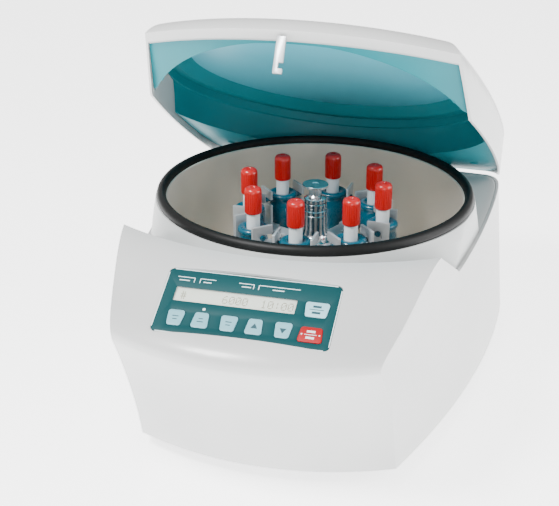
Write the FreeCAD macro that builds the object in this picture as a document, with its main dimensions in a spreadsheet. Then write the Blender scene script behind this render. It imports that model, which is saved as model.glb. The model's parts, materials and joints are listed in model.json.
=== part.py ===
import FreeCAD, Part
import math
import os
import Sketcher
from FreeCAD import Vector, Placement, Rotation

# Bench-top laboratory centrifuge with an eight-place swing-out rotor.
# Millimetres, +Z up, front towards -Y. Origin on the rotor axis at floor level.
# The lid is drawn closed and then swung open about its rear hinge: open is the rest pose.

doc = FreeCAD.newDocument("centrifuge")
sheet = doc.addObject("Spreadsheet::Sheet", "dims")

DIMENSIONS = {
    # housing: plan outline at four levels, and the rear
    "foot_height": 15, "deck_level": 160.8, "knee_level": 153, "peak_level": 206,
    "foot_corner_x": 120.3, "foot_corner_y": -187.4, "low_corner_x": 119, "low_corner_y": -206,
    "mid_corner_x": 118, "mid_corner_y": -226, "high_corner_x": 115, "high_corner_y": -249,
    "knee_corner_x": 113.3, "knee_corner_y": -259, "peak_corner_x": 144, "peak_corner_y": -145,
    "front_bulge": 27.5, "peak_bulge": 39,
    "side_max_foot": 183, "side_max_deck": 169.8, "side_max_y": 150,
    "rear_y": 203, "rear_corner_y": 196, "rear_corner_in": 16,
    "wall": 3, "fit_gap": 0.3, "knee_round": 10,
    # step behind the shield that the lid closes against
    "step_foot_y": -73, "step_radius": 283.6, "step_run": 67.4,
    # bowl and gasket
    "bowl_radius": 146, "bowl_wall": 1.2, "bowl_floor": 79, "bowl_flange": 153.5,
    "bowl_corner": 16, "collar_level": 197.3, "collar_top": 157.5, "collar_foot": 164,
    "bowl_hole": 148.5, "gasket_in": 147.2, "gasket_out": 156.1, "gasket_top": 206,
    # drive
    "shaft_radius": 6, "motor_radius": 52, "motor_foot": 36, "motor_top": 76,
    "plate_level": 32, "plate_half": 75, "plate_thick": 4, "damper_radius": 10,
    "base_thick": 2, "foot_radius": 12, "front_foot_x": 90, "front_foot_y": -160,
    "rear_foot_x": 130, "rear_foot_y": 160,
    # rotor
    "first_angle": 132.6, "pivot_radius": 69, "pivot_level": 169,
    "hub_radius": 11.8, "hub_foot": 140, "hub_top": 187.5, "hub_flange": 19,
    "nut_radius": 11.3, "nut_neck": 6.2, "nut_grip": 13, "nut_top": 206.5,
    "arm_level": 140, "arm_thick": 5, "arm_half": 7, "arm_end_half": 10,
    "hook_offset": 17.4, "hook_thick": 2.4, "hook_long": 22, "hook_top": 181,
    "slot_width": 5.5, "trunnion_radius": 2.5, "trunnion_reach": 21.5,
    "bucket_rim": 15.5, "bucket_top": 175, "bucket_foot": 104, "bucket_bore": 6.9,
    "tube_radius": 6.6, "tube_wall": 1, "tube_foot": 111, "tube_top": 205,
    "cap_radius": 8.5, "cap_foot": 189, "cap_top": 215,
    # control panel
    "panel_wide": 150, "panel_tall": 64.7, "panel_centre_x": -3, "panel_thick": 1.5,
    "panel_foot_y": -262, "panel_foot_z": 167, "panel_tilt": 28.3, "panel_corner": 5,
    "display_x": -15.3, "display_v": 39.5, "display_wide": 104, "display_tall": 14,
    "key_wide": 13, "key_tall": 15, "key_row_v": 15.2, "key_travel": 0.5,
    "button_x": 54.6, "button_wide": 19, "button_tall": 14.5, "start_v": 38.6, "stop_v": 14,
    # lid
    "hinge_y": 192, "hinge_z": 174, "pin_radius": 3, "lid_open": 30, "lid_rim": 163,
    "lid_edge": 205, "lip_level": 199, "lid_crown": 229, "lid_middle_y": 18, "lid_wall": 2.5, "lid_rear_y": 215,
    "liner_level": 170, "liner_thick": 1.8, "liner_depth": 12.2, "apron_depth": 12.8, "recess_radius": 157.2, "seal_land": 206.6,
    "land_in": 147, "disc_radius": 137, "disc_level": 217,
    "arm_in": 97, "arm_out": 113, "barrel_in": 58, "barrel_out": 94, "barrel_radius": 6.5,
    "striker_x": -6, "striker_y": -171, "striker_half": 4, "striker_foot": 168, "striker_top": 200.5,
    "bolt_level": 175,
    # rear mains module
    "inlet_x": 70, "inlet_z": 60, "inlet_wide": 50, "inlet_tall": 56, "rocker_z": 74, "rocker_tilt": 7,
    "rocker_depth": 4, "rocker_pin": 2,
}

for row, (alias, value) in enumerate(DIMENSIONS.items(), start=1):
    sheet.set(f"A{row}", alias)
    sheet.set(f"B{row}", str(value))
    sheet.setAlias(f"B{row}", alias)
doc.recompute()

NODES = []


def size(alias):
    """The value of one spreadsheet cell."""
    return float(sheet.get(alias))


def bind(obj, prop, text):
    """Bind a property to an expression in which $name is a spreadsheet alias."""
    obj.setExpression(prop, text.replace("$", "dims."))


def bind_base(obj, base):
    for axis, text in zip("xyz", base):
        bind(obj, f"Placement.Base.{axis}", str(text))


def node(obj, label):
    obj.Label = label
    NODES.append(obj)
    return obj


def box(name, size_xyz, base):
    obj = doc.addObject("Part::Box", name)
    for prop, text in zip(("Length", "Width", "Height"), size_xyz):
        bind(obj, prop, str(text))
    bind_base(obj, base)
    return obj


def cylinder(name, radius, height, base, direction=None):
    obj = doc.addObject("Part::Cylinder", name)
    if direction is not None:
        obj.Placement.Rotation = Rotation(Vector(0, 0, 1), direction)
    bind(obj, "Radius", str(radius))
    bind(obj, "Height", str(height))
    bind_base(obj, base)
    return obj


def fuse(name, parts):
    obj = doc.addObject("Part::MultiFuse", name)
    obj.Shapes = parts
    return obj


def common(name, parts):
    obj = doc.addObject("Part::MultiCommon", name)
    obj.Shapes = parts
    return obj


def cut(name, base, tool):
    obj = doc.addObject("Part::Cut", name)
    obj.Base = base
    obj.Tool = tool
    return obj


def cut_all(name, base, tools):
    """Take each tool away in turn."""
    for index, tool in enumerate(tools):
        base = cut(f"{name}_{index}", base, tool)
    return base


def shape_feature(name, shape):
    obj = doc.addObject("Part::Feature", name)
    obj.Shape = shape
    return obj


def closed_profile(sketch, points):
    """A closed polygon whose every corner is held by two bound distances from the origin."""
    corners = [Vector(0.5 * index, 0.3 * index * index, 0) for index in range(len(points))]
    count = len(points)
    for index in range(count):
        sketch.addGeometry(Part.LineSegment(corners[index], corners[(index + 1) % count] + Vector(0, 0.01, 0)))
    for index in range(count):
        sketch.addConstraint(Sketcher.Constraint("Coincident", index, 2, (index + 1) % count, 1))
    for index, (first, second) in enumerate(points):
        for kind, text in (("DistanceX", first), ("DistanceY", second)):
            number = sketch.addConstraint(Sketcher.Constraint(kind, -1, 1, index, 1, 1.0 + index))
            sketch.setExpression(f"Constraints[{number}]", str(text).replace("$", "dims."))


def turned(name, points):
    """A PartDesign body turned about Z from a (radius, level) profile."""
    body = doc.addObject("PartDesign::Body", name)
    plane = next(item for item in body.Origin.OriginFeatures if item.Role == "XZ_Plane")
    sketch = body.newObject("Sketcher::SketchObject", name + "_profile")
    sketch.AttachmentSupport = [(plane, "")]
    sketch.MapMode = "FlatFace"
    closed_profile(sketch, points)
    doc.recompute()
    turn = body.newObject("PartDesign::Revolution", name + "_turn")
    turn.Profile = sketch
    turn.ReferenceAxis = (sketch, ["V_Axis"])
    turn.Angle = 360
    body.Tip = turn
    return body


def around_axis(obj, radius, angle):
    """Stand a piece drawn on its own axis at a radius and angle from the rotor axis."""
    turn = Rotation(Vector(0, 0, 1), angle)
    obj.Placement = Placement(turn.multVec(Vector(radius, 0, 0)), turn)
    return obj


# ---------------------------------------------------------------- plan outlines of the housing

def side_max(level):
    """Largest half-width at a level: the side walls lean inwards as they rise."""
    rise = (level - size("foot_height")) / (size("deck_level") - size("foot_height"))
    return size("side_max_foot") + (size("side_max_deck") - size("side_max_foot")) * min(rise, 1.0)


def side_x(y, corner_x, corner_y, widest):
    """Half-width of the outline at a depth, between the front corner and the widest place."""
    run = min(max((y - corner_y) / (size("side_max_y") - corner_y), 0.0), 1.0)
    return corner_x + (widest - corner_x) * (1 - (1 - run) ** 2)


def outline(level, corner_x, corner_y, bulge, widest, rear_y, rear_corner_y, corner_in):
    """Closed plan wire: bulging front, bowed sides and a nearly flat rear with rounded corners."""
    widest_y = size("side_max_y")
    right = []
    for step in range(7):
        y = corner_y + (widest_y - corner_y) * step / 6
        right.append(Vector(side_x(y, corner_x, corner_y, widest), y, level))
    right.append(Vector(widest - 1.5, rear_corner_y - 22, level))
    right.append(Vector(widest - 6, rear_corner_y - 8, level))
    right.append(Vector(widest - corner_in, rear_corner_y, level))
    left = [Vector(-p.x, p.y, p.z) for p in reversed(right)]
    front = Part.Arc(left[-1], Vector(0, corner_y - bulge, level), right[0])
    rear = Part.Arc(right[-1], Vector(0, rear_y, level), left[0])
    side_right = Part.BSplineCurve()
    side_right.interpolate(right)
    side_left = Part.BSplineCurve()
    side_left.interpolate(left)
    edges = [front.toShape(), side_right.toShape(), rear.toShape(), side_left.toShape()]
    return Part.Wire(edges)


def housing_wire(level, corner_x, corner_y, bulge, inset=0.0, sink=0.0):
    return outline(level - sink, corner_x - inset, corner_y + 1.6 * inset, bulge,
                   side_max(level) - inset, size("rear_y") - inset,
                   size("rear_corner_y") - inset, size("rear_corner_in"))


def housing_loft(name, inset, sink, foot_drop):
    """Lower skirt and upper slope of the front shield, meeting in the ridge."""
    knee = (size("knee_level"), size("knee_corner_x"), size("knee_corner_y"), size("front_bulge"))
    lower = [
        (size("foot_height") - foot_drop, size("foot_corner_x"), size("foot_corner_y"), size("front_bulge")),
        (64, size("low_corner_x"), size("low_corner_y"), size("front_bulge")),
        (105, size("mid_corner_x"), size("mid_corner_y"), size("front_bulge")),
        (140, size("high_corner_x"), size("high_corner_y"), size("front_bulge")),
        knee,
    ]
    drop = size("knee_corner_y")
    rise = size("peak_corner_y") - drop
    spread = size("peak_corner_x") - size("knee_corner_x")
    upper = [knee]
    for share, height in ((0.09, 0.21), (0.38, 0.51), (0.57, 0.72), (0.75, 0.89), (1.0, 1.0)):
        level = size("knee_level") + (size("peak_level") - size("knee_level")) * height
        upper.append((level, size("knee_corner_x") + spread * share ** 0.8, drop + rise * share,
                      size("front_bulge") + (size("peak_bulge") - size("front_bulge")) * share))
    solids = []
    for stations in (lower, upper):
        wires = []
        for index, (level, corner_x, corner_y, bulge) in enumerate(stations):
            shared = stations is lower and index == len(stations) - 1 or stations is upper
            wires.append(housing_wire(level, corner_x, corner_y, bulge, inset, sink if shared else 0.0))
        solids.append(Part.makeLoft(wires, True, False))
    return shape_feature(name, solids[0].fuse(solids[1]))


def knee_rounded(name, source):
    """Round the crease where the front face meets the panel slope."""
    level = size("knee_level")
    crease = [edge for edge in source.Shape.Edges if edge.BoundBox.YMax < size("knee_corner_y") + 1
              and abs(edge.BoundBox.ZMin - level) < 0.01 and abs(edge.BoundBox.ZMax - level) < 0.01]
    return shape_feature(name, source.Shape.makeFillet(size("knee_round"), crease))


def step_space(name, shift_y, shift_z, height=140):
    """Everything above the deck and behind the curved step that faces the lid."""
    radius = size("step_radius")
    front = size("step_foot_y") + math.sqrt(radius ** 2 - 151.0 ** 2) - radius
    reach = 230.0
    side_y = front + radius - math.sqrt(radius ** 2 - reach ** 2)
    arc = Part.Arc(Vector(-reach, side_y, 0), Vector(0, front, 0), Vector(reach, side_y, 0))
    right = Part.makeLine(Vector(reach, side_y, 0), Vector(reach, 600, 0))
    rear = Part.makeLine(Vector(reach, 600, 0), Vector(-reach, 600, 0))
    left = Part.makeLine(Vector(-reach, 600, 0), Vector(-reach, side_y, 0))
    face = Part.Face(Part.Wire([arc.toShape(), right, rear, left]))
    rise = size("peak_level") - size("deck_level")
    solid = face.extrude(Vector(0, -size("step_run") * height / rise, height))
    obj = shape_feature(name, solid)
    obj.Placement = Placement(Vector(0, shift_y, size("deck_level") + shift_z), Rotation())
    return obj


outer = knee_rounded("housing_outer", housing_loft("housing_sharp", 0.0, 0.0, 0.0))
inner = housing_loft("housing_inner", size("wall"), 1.5, 8.0)
lining = housing_loft("housing_lining", size("wall") + size("fit_gap"), 1.8, 8.0)
lid_space = step_space("lid_space", 0, 0)

# ---------------------------------------------------------------- frame of the control panel

tilt = math.radians(size("panel_tilt"))
panel_origin = Vector(size("panel_centre_x"), size("panel_foot_y"), size("panel_foot_z"))
panel_turn = Rotation(Vector(1, 0, 0), size("panel_tilt"))
panel_place = Placement(panel_origin, panel_turn)


def rounded_plate(name, wide, tall, corner, thick, centre_x, centre_v, low, top_share=1.0):
    """Rounded four-sided plate lying in the panel's own plane; top_share widens its top."""
    half_top = wide / 2 * top_share
    half_foot = wide / 2 * (2 - top_share)
    low_v = centre_v - tall / 2
    high_v = centre_v + tall / 2
    corners = [Vector(centre_x - half_foot, low_v, low), Vector(centre_x + half_foot, low_v, low),
               Vector(centre_x + half_top, high_v, low), Vector(centre_x - half_top, high_v, low)]
    solid = Part.Face(Part.makePolygon(corners + corners[:1])).extrude(Vector(0, 0, thick))
    upright = [edge for edge in solid.Edges if abs(edge.BoundBox.ZLength - thick) < 1e-6]
    solid = solid.makeFillet(corner, upright)
    obj = shape_feature(name, solid)
    obj.Placement = panel_place
    return obj


panel_wide = size("panel_wide")
panel_tall = size("panel_tall")
panel_mid = panel_tall / 2
panel_tub = rounded_plate("panel_tub", panel_wide + 12, panel_tall + 10, 6, 5, 0, panel_mid, -6.5)
tub_in_shell = common("tub_in_shell", [panel_tub, outer])
shell_walls = cut("shell_walls", outer, inner)
shell_blank = fuse("shell_blank", [shell_walls, tub_in_shell])
panel_pocket = rounded_plate("panel_pocket", panel_wide + 0.6, panel_tall + 0.6, size("panel_corner"), 30,
                             0, panel_mid, -size("panel_thick"))
panel_hole = rounded_plate("panel_hole", panel_wide - 12, panel_tall - 8, 3, 20, 0, panel_mid, -12)
inlet_hole = box("inlet_hole", ("$inlet_wide - 3.6", "40", "$inlet_tall - 3.6"),
                 ("$inlet_x - $inlet_wide / 2 + 1.8", "$rear_y - 30", "$inlet_z - $inlet_tall / 2 + 1.8"))
inlet_seat = box("inlet_seat", ("$inlet_wide + 0.6", "30", "$inlet_tall + 0.6"),
                 ("$inlet_x - $inlet_wide / 2 - 0.3", "$rear_y - 2", "$inlet_z - $inlet_tall / 2 - 0.3"))
housing = cut_all("housing_body", shell_blank, [lid_space, panel_pocket, panel_hole, inlet_hole, inlet_seat])
node(housing, "housing")

# base plate: closes the foot of the housing, with a row of cooling slots
base_outline = housing_wire(size("foot_height"), size("foot_corner_x"), size("foot_corner_y"),
                            size("front_bulge"), size("wall") + size("fit_gap"))
base_blank = shape_feature("base_blank", Part.Face(base_outline).extrude(Vector(0, 0, size("base_thick"))))
slots = [box(f"vent_{index}", ("60", "5", "10"), ("-30", f"{78 + 12 * index}", "$foot_height - 4"))
         for index in range(6)]
node(cut_all("base_cut", base_blank, slots), "base_plate")

feet = []
for side in (-1, 1):
    for which in ("front", "rear"):
        feet.append(cylinder(f"foot_{which}_{side + 1}", "$foot_radius", "$foot_height",
                             (f"{side} * ${which}_foot_x", f"${which}_foot_y", "0")))
node(fuse("feet_set", feet), "rubber_feet")

# ---------------------------------------------------------------- deck, collar, bowl, gasket

deck_low = step_space("deck_low", -2, -3, 60)
deck_layer = cut("deck_layer", deck_low, lid_space)
deck_plate = common("deck_plate", [deck_layer, lining])
collar_ring = turned("collar_ring", [("100", "$deck_level - 3"), ("$collar_foot", "$deck_level - 3"),
                                     ("$collar_foot", "$deck_level"), ("$collar_top", "$collar_level"),
                                     ("100", "$collar_level")])
lining_up = shape_feature("lining_up", Part.Face(outline(
    size("deck_level") - 10, size("high_corner_x") - 4, size("high_corner_y") + 6, size("front_bulge"),
    size("side_max_deck") - size("wall") - 0.6, size("rear_y") - 4, size("rear_corner_y") - 4,
    size("rear_corner_in"))).extrude(Vector(0, 0, 80)))
collar = common("collar_trimmed", [collar_ring, lining_up])
deck_blank = fuse("deck_blank", [deck_plate, collar])
bowl_well = cylinder("bowl_well", "$bowl_hole", "200", ("0", "0", "50"))
striker_slot = box("striker_slot", ("2 * $striker_half + 4", "8", "60"),
                   ("$striker_x - $striker_half - 2", "$striker_y - 4", "$deck_level"))
node(cut_all("deck_cut", deck_blank, [bowl_well, striker_slot]), "top_deck")

node(turned("bowl_body", [
    ("14", "$bowl_floor"), ("$bowl_radius + $bowl_wall - $bowl_corner", "$bowl_floor"),
    ("$bowl_radius + $bowl_wall - 4", "$bowl_floor + 5"),
    ("$bowl_radius + $bowl_wall", "$bowl_floor + $bowl_corner"),
    ("$bowl_radius + $bowl_wall", "$collar_level"), ("$bowl_flange", "$collar_level"),
    ("$bowl_flange", "$collar_level + $bowl_wall"), ("$bowl_radius", "$collar_level + $bowl_wall"),
    ("$bowl_radius", "$bowl_floor + $bowl_corner"),
    ("$bowl_radius - 4", "$bowl_floor + 5 + $bowl_wall"),
    ("$bowl_radius - $bowl_corner", "$bowl_floor + $bowl_wall"), ("14", "$bowl_floor + $bowl_wall")]), "bowl")

node(turned("gasket_body", [
    ("$gasket_in", "$collar_level + $bowl_wall"), ("$bowl_flange + 0.2", "$collar_level + $bowl_wall"),
    ("$bowl_flange + 0.2", "$collar_level"), ("$gasket_out", "$collar_level"),
    ("$gasket_out + 0.4", "$gasket_top - 4.5"), ("$gasket_out - 2", "$gasket_top - 0.6"),
    ("$gasket_out - 4.5", "$gasket_top"), ("$gasket_in + 2", "$gasket_top - 0.6"),
    ("$gasket_in", "$gasket_top - 4")]), "bowl_gasket")

# ---------------------------------------------------------------- drive

node(turned("stator_body", [
    ("$shaft_radius + 0.06", "$motor_foot"), ("$motor_radius - 6", "$motor_foot"),
    ("$motor_radius - 6", "$motor_foot + 6"), ("$motor_radius", "$motor_foot + 8"),
    ("$motor_radius", "$motor_top - 8"), ("$motor_radius - 4", "$motor_top - 6"),
    ("$motor_radius - 4", "$motor_top - 3"), ("18", "$motor_top - 3"), ("18", "$motor_top"),
    ("$shaft_radius + 0.06", "$motor_top")]), "motor_stator")

mount_plate = box("mount_plate", ("2 * $plate_half", "2 * $plate_half", "$plate_thick"),
                  ("-$plate_half", "-$plate_half", "$plate_level"))
mount_hole = cylinder("mount_hole", "14", "20", ("0", "0", "$plate_level - 5"))
node(cut("mount_cut", mount_plate, mount_hole), "motor_mount")

dampers = []
for side in (-1, 1):
    for end in (-1, 1):
        dampers.append(cylinder(f"damper_{side + 1}_{end + 1}", "$damper_radius",
                                "$plate_level - $foot_height - $base_thick",
                                (f"{side} * ($plate_half - 14)", f"{end} * ($plate_half - 14)",
                                 "$foot_height + $base_thick")))
node(fuse("damper_set", dampers), "damper_mounts")

node(turned("seal_body", [
    ("$shaft_radius + 0.6", "$bowl_floor - 1.5"), ("17", "$bowl_floor - 1.5"), ("17", "$bowl_floor"),
    ("14", "$bowl_floor"), ("14", "$bowl_floor + $bowl_wall"), ("17", "$bowl_floor + $bowl_wall"),
    ("15", "$bowl_floor + 4"), ("8", "$bowl_floor + 8"), ("$shaft_radius + 0.6", "$bowl_floor + 8")]),
    "shaft_seal")

node(turned("shaft_body", [
    ("0", "$motor_foot + 2"), ("$shaft_radius", "$motor_foot + 2"), ("$shaft_radius", "$hub_top - 14"),
    ("4", "$hub_top - 11"), ("4", "$hub_top + 4"), ("0", "$hub_top + 4")]), "motor_shaft")

# ---------------------------------------------------------------- rotor

hub_turned = turned("hub_turned", [
    ("$shaft_radius", "$hub_foot - 26"), ("15", "$hub_foot - 26"), ("15", "$hub_foot + $arm_thick"),
    ("$hub_flange", "$hub_foot + $arm_thick"), ("$hub_flange", "$hub_foot + $arm_thick + 4"),
    ("14", "$hub_foot + $arm_thick + 8"), ("$hub_radius", "$hub_foot + $arm_thick + 15"),
    ("$hub_radius", "$hub_top - 8"), ("$hub_radius - 0.8", "$hub_top - 7.4"),
    ("$hub_radius - 0.8", "$hub_top - 5"), ("$hub_radius", "$hub_top - 4.4"), ("$hub_radius", "$hub_top"),
    ("4.05", "$hub_top"), ("4.05", "$hub_top - 11"), ("$shaft_radius", "$hub_top - 14")])
hub_screws = []
for index in range(6):
    angle = math.radians(60 * index + 15)
    hub_screws.append(cylinder(f"hub_screw_{index}", "2", "5.6",
                               (f"16.3 * {math.cos(angle):.6f}", f"16.3 * {math.sin(angle):.6f}",
                                "$hub_foot + $arm_thick + 1")))
hub_all = fuse("hub_all", [hub_turned] + hub_screws)
node(hub_all, "rotor_hub")

node(turned("nut_body", [
    ("4.1", "$hub_top + 0.3"), ("$nut_radius", "$hub_top + 0.3"), ("$nut_radius", "$hub_top + 5"),
    ("$nut_neck + 1", "$hub_top + 6.5"), ("$nut_neck", "$hub_top + 8"), ("$nut_neck", "$nut_top - 5"),
    ("$nut_grip", "$nut_top - 3"), ("$nut_grip", "$nut_top"), ("0", "$nut_top"), ("0", "$hub_top + 5"),
    ("4.1", "$hub_top + 5")]), "rotor_nut")

PLACES = 8
pitch = 360.0 / PLACES
arm_parts = [cylinder("arm_disc", "34", "$arm_thick", ("0", "0", "$arm_level"))]


def radial_box(name, start, length, half, low, height, angle, side=0.0):
    """A box that runs outwards from the rotor axis at an angle; side shifts it tangentially."""
    solid = Part.makeBox(length, 2 * half, height, Vector(start, side - half, low))
    obj = shape_feature(name, solid)
    obj.Placement = Placement(Vector(), Rotation(Vector(0, 0, 1), angle))
    return obj


hook_mid = size("hook_offset") + size("hook_thick") / 2
hook_start = size("pivot_radius") - size("hook_long") / 2
slots = []
for place in range(PLACES):
    angle = size("first_angle") - pitch * place
    between = angle + pitch / 2
    arm_parts.append(radial_box(f"arm_{place}", 20, 58, size("arm_half"), size("arm_level"),
                                size("arm_thick"), between))
    arm_parts.append(radial_box(f"arm_end_{place}", 54, 25, size("arm_end_half"), size("arm_level"),
                                size("arm_thick"), between))
    for side in (-1, 1):
        tag = f"{place}_{side + 1}"
        arm_parts.append(radial_box(f"hook_{tag}", hook_start, size("hook_long"), size("hook_thick") / 2,
                                    size("arm_level"), size("hook_top") - size("arm_level"), angle,
                                    side * hook_mid))
        slot_end = size("pivot_radius")
        slot = Part.makeBox(30, 8, size("slot_width"),
                            Vector(slot_end - 30, side * hook_mid - 4, size("pivot_level") - size("slot_width") / 2))
        seat = Part.makeCylinder(size("slot_width") / 2, 8, Vector(slot_end, side * hook_mid - 4,
                                                                  size("pivot_level")), Vector(0, 1, 0))
        mouth = shape_feature(f"mouth_{tag}", slot.fuse(seat))
        mouth.Placement = Placement(Vector(), Rotation(Vector(0, 0, 1), angle))
        slots.append(mouth)
arm_hole = cylinder("arm_hole", "15", "40", ("0", "0", "$arm_level - 10"))
arms_blank = fuse("arms_blank", arm_parts)
node(cut_all("arms_cut", arms_blank, slots + [arm_hole]), "rotor_arms")

for place in range(PLACES):
    angle = size("first_angle") - pitch * place
    shell = turned(f"bucket_shell_{place}", [
        ("0", "$bucket_foot"), ("7", "$bucket_foot"), ("10", "$bucket_foot + 4"),
        ("11", "$bucket_foot + 28"), ("13.6", "$bucket_top - 26"), ("14.4", "$bucket_top - 15"),
        ("13.4", "$bucket_top - 8"), ("$bucket_rim", "$bucket_top - 3"), ("$bucket_rim", "$bucket_top - 1"),
        ("$bucket_rim - 2.5", "$bucket_top"), ("$bucket_bore", "$bucket_top - 3"),
        ("$bucket_bore", "$tube_foot + 3"), ("4", "$tube_foot - 0.6"), ("0", "$tube_foot - 0.6")])
    pins = cylinder(f"trunnion_{place}", "$trunnion_radius", "2 * $trunnion_reach",
                    ("0", "-$trunnion_reach", "$pivot_level"), Vector(0, 1, 0))
    bore = cylinder(f"pin_bore_{place}", "$bucket_rim - 3.5", "30", ("0", "0", "$pivot_level - 15"))
    stub = cut(f"pin_stubs_{place}", pins, bore)
    bucket = fuse(f"bucket_solid_{place}", [shell, stub])
    node(around_axis(bucket, size("pivot_radius"), angle), f"bucket_{place + 1}")
    tube = turned(f"tube_body_{place}", [
        ("0", "$tube_foot"), ("3.5", "$tube_foot + 0.9"), ("$tube_radius - 0.7", "$tube_foot + 3.6"),
        ("$tube_radius", "$tube_foot + 6.6"), ("$tube_radius", "$tube_top"),
        ("$tube_radius - $tube_wall", "$tube_top"), ("$tube_radius - $tube_wall", "$tube_foot + 7"),
        ("3", "$tube_foot + 2.2"), ("0", "$tube_foot + 1.2")])
    node(around_axis(tube, size("pivot_radius"), angle), f"sample_tube_{place + 1}")
    cap = turned(f"cap_body_{place}", [
        ("$tube_radius + 0.05", "$cap_foot"), ("$cap_radius - 0.3", "$cap_foot"),
        ("$cap_radius", "$cap_foot + 2"), ("$cap_radius - 0.2", "$cap_top - 4"),
        ("$cap_radius - 1.6", "$cap_top - 0.8"), ("$cap_radius - 3", "$cap_top"), ("0", "$cap_top"),
        ("0", "$tube_top + 0.1"), ("$tube_radius + 0.05", "$tube_top + 0.1")])
    node(around_axis(cap, size("pivot_radius"), angle), f"tube_cap_{place + 1}")

# ---------------------------------------------------------------- control panel

foil_blank = rounded_plate("foil_blank", panel_wide, panel_tall, size("panel_corner"),
                           size("panel_thick"), 0, panel_mid, -size("panel_thick"))
offset_x = size("panel_centre_x")
key_row = [(-60.0, 1.12), (-38.2, 0.88), (-14.5, 1.12), (7.5, 0.88), (31.4, 1.12)]
key_list = [(f"key_{index + 1}", x, size("key_row_v"), size("key_wide"), size("key_tall"), share)
            for index, (x, share) in enumerate(key_row)]
key_list.append(("key_start", size("button_x"), size("start_v"), size("button_wide"), size("button_tall"), 1.08))
key_list.append(("key_stop", size("button_x"), size("stop_v"), size("button_wide"), size("button_tall"), 0.92))
openings = []
for label, x, v, wide, tall, share in key_list:
    key = rounded_plate(label + "_plate", wide, tall, 2.4, 2.0, x - offset_x, v, -1.5, share)
    node(key, label)
    openings.append(rounded_plate(label + "_hole", wide + 0.6, tall + 0.6, 2.5, 10, x - offset_x, v, -5, share))
window_x = size("display_x") - offset_x
openings.append(rounded_plate("window_hole", size("display_wide") + 0.4, size("display_tall") + 0.4, 0.8, 10,
                              window_x, size("display_v"), -5))
node(cut_all("foil_cut", foil_blank, openings), "panel_foil")
node(rounded_plate("window_plate", size("display_wide"), size("display_tall"), 0.6, 1.2,
                   window_x, size("display_v"), -1.4), "display_window")
node(rounded_plate("lcd_block", size("display_wide") + 4, size("display_tall") + 6, 1, 5,
                   window_x, size("display_v"), -7), "lcd_module")
board = rounded_plate("board_plate", panel_wide - 16, panel_tall - 12, 2, 1.6, 0, panel_mid, -9.2)
domes = []
for label, x, v, wide, tall, share in key_list:
    dome = Part.makeCylinder(3, 5.0, Vector(x - offset_x, v, -7.7))
    peg = shape_feature(label + "_dome", dome)
    peg.Placement = panel_place
    domes.append(peg)
node(fuse("board_all", [board] + domes), "keypad_board")

# ---------------------------------------------------------------- electronics and mains module

board_parts = [box("power_board", ("150", "76", "1.6"), ("-75", "-168", "22"))]
for side in (-1, 1):
    for end in (0, 1):
        board_parts.append(cylinder(f"standoff_{side + 1}_{end}", "3", "5",
                                    (f"{side} * 68", f"-162 + {end} * 64", "$foot_height + $base_thick")))
board_parts.append(box("transformer", ("44", "36", "30"), ("-66", "-150", "23.6")))
board_parts.append(box("heat_sink", ("30", "12", "26"), ("10", "-120", "23.6")))
for index in range(3):
    board_parts.append(cylinder(f"capacitor_{index}", "9", "28", (f"{-4 + 24 * index}", "-148", "23.6")))
node(fuse("control_all", board_parts), "control_board")

flange = box("inlet_flange", ("$inlet_wide", "4", "$inlet_tall"),
             ("$inlet_x - $inlet_wide / 2", "$rear_y - 1.8", "$inlet_z - $inlet_tall / 2"))
inlet_case = box("inlet_case", ("$inlet_wide - 4", "24", "$inlet_tall - 4"),
                 ("$inlet_x - $inlet_wide / 2 + 2", "$rear_y - 25", "$inlet_z - $inlet_tall / 2 + 2"))
inlet_well = box("inlet_well", ("27", "20", "19"), ("$inlet_x - 13.5", "$rear_y - 15", "$inlet_z - 24"))
rocker_well = box("rocker_well", ("30", "20", "22"), ("$inlet_x - 15", "$rear_y - 15", "$rocker_z - 11"))
inlet_cut = cut_all("inlet_cut", fuse("inlet_blank", [flange, inlet_case]), [inlet_well, rocker_well])
blades = [box(f"blade_{index}", ("2", "13", "4"),
              (f"$inlet_x - 1 + {7 * (index - 1)}", "$rear_y - 16", f"$inlet_z - 17 + {2 * (index % 2)}"))
          for index in range(3)]
rocker_bore = cylinder("rocker_bore", "$rocker_pin + 0.05", "40",
                       ("$inlet_x - 20", "$rear_y - $rocker_depth", "$rocker_z"), Vector(1, 0, 0))
node(cut("inlet_bored", fuse("inlet_all", [inlet_cut] + blades), rocker_bore), "mains_inlet")

rocker_profile = [(-4.0, -9.4), (7.2, -9.4), (5.2, 0.0), (7.2, 9.4), (-4.0, 9.4)]
rocker_face = Part.Face(Part.makePolygon([Vector(-14, a, b) for a, b in rocker_profile + rocker_profile[:1]]))
rocker_pivot = Part.makeCylinder(size("rocker_pin"), 36, Vector(-18, 0, 0), Vector(1, 0, 0))
rocker = shape_feature("rocker_solid", rocker_face.extrude(Vector(28, 0, 0)).fuse(rocker_pivot))
rocker.Placement = Placement(Vector(size("inlet_x"), size("rear_y") - size("rocker_depth"), size("rocker_z")),
                             Rotation(Vector(1, 0, 0), -size("rocker_tilt")))
node(rocker, "power_rocker")

# ---------------------------------------------------------------- lid lock in the front of the deck

lock_box = box("lock_box", ("40", "19.5", "30"), ("$striker_x - 20", "$striker_y - 13", "155"))
lock_slot = box("lock_slot", ("2 * $striker_half + 4", "8", "40"),
                ("$striker_x - $striker_half - 2", "$striker_y - 4", "162"))
lock_track = box("lock_track", ("26", "6.6", "4.8"),
                 ("$striker_x - 2", "$striker_y - 3.3", "$bolt_level - 2.4"))
node(cut_all("lock_case_cut", lock_box, [lock_slot, lock_track]), "lid_lock_case")
node(box("lock_bolt", ("11", "6", "4"), ("$striker_x + $striker_half + 3", "$striker_y - 3", "$bolt_level - 2")),
     "lid_lock_hook")

# ---------------------------------------------------------------- lid, drawn closed

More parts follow.
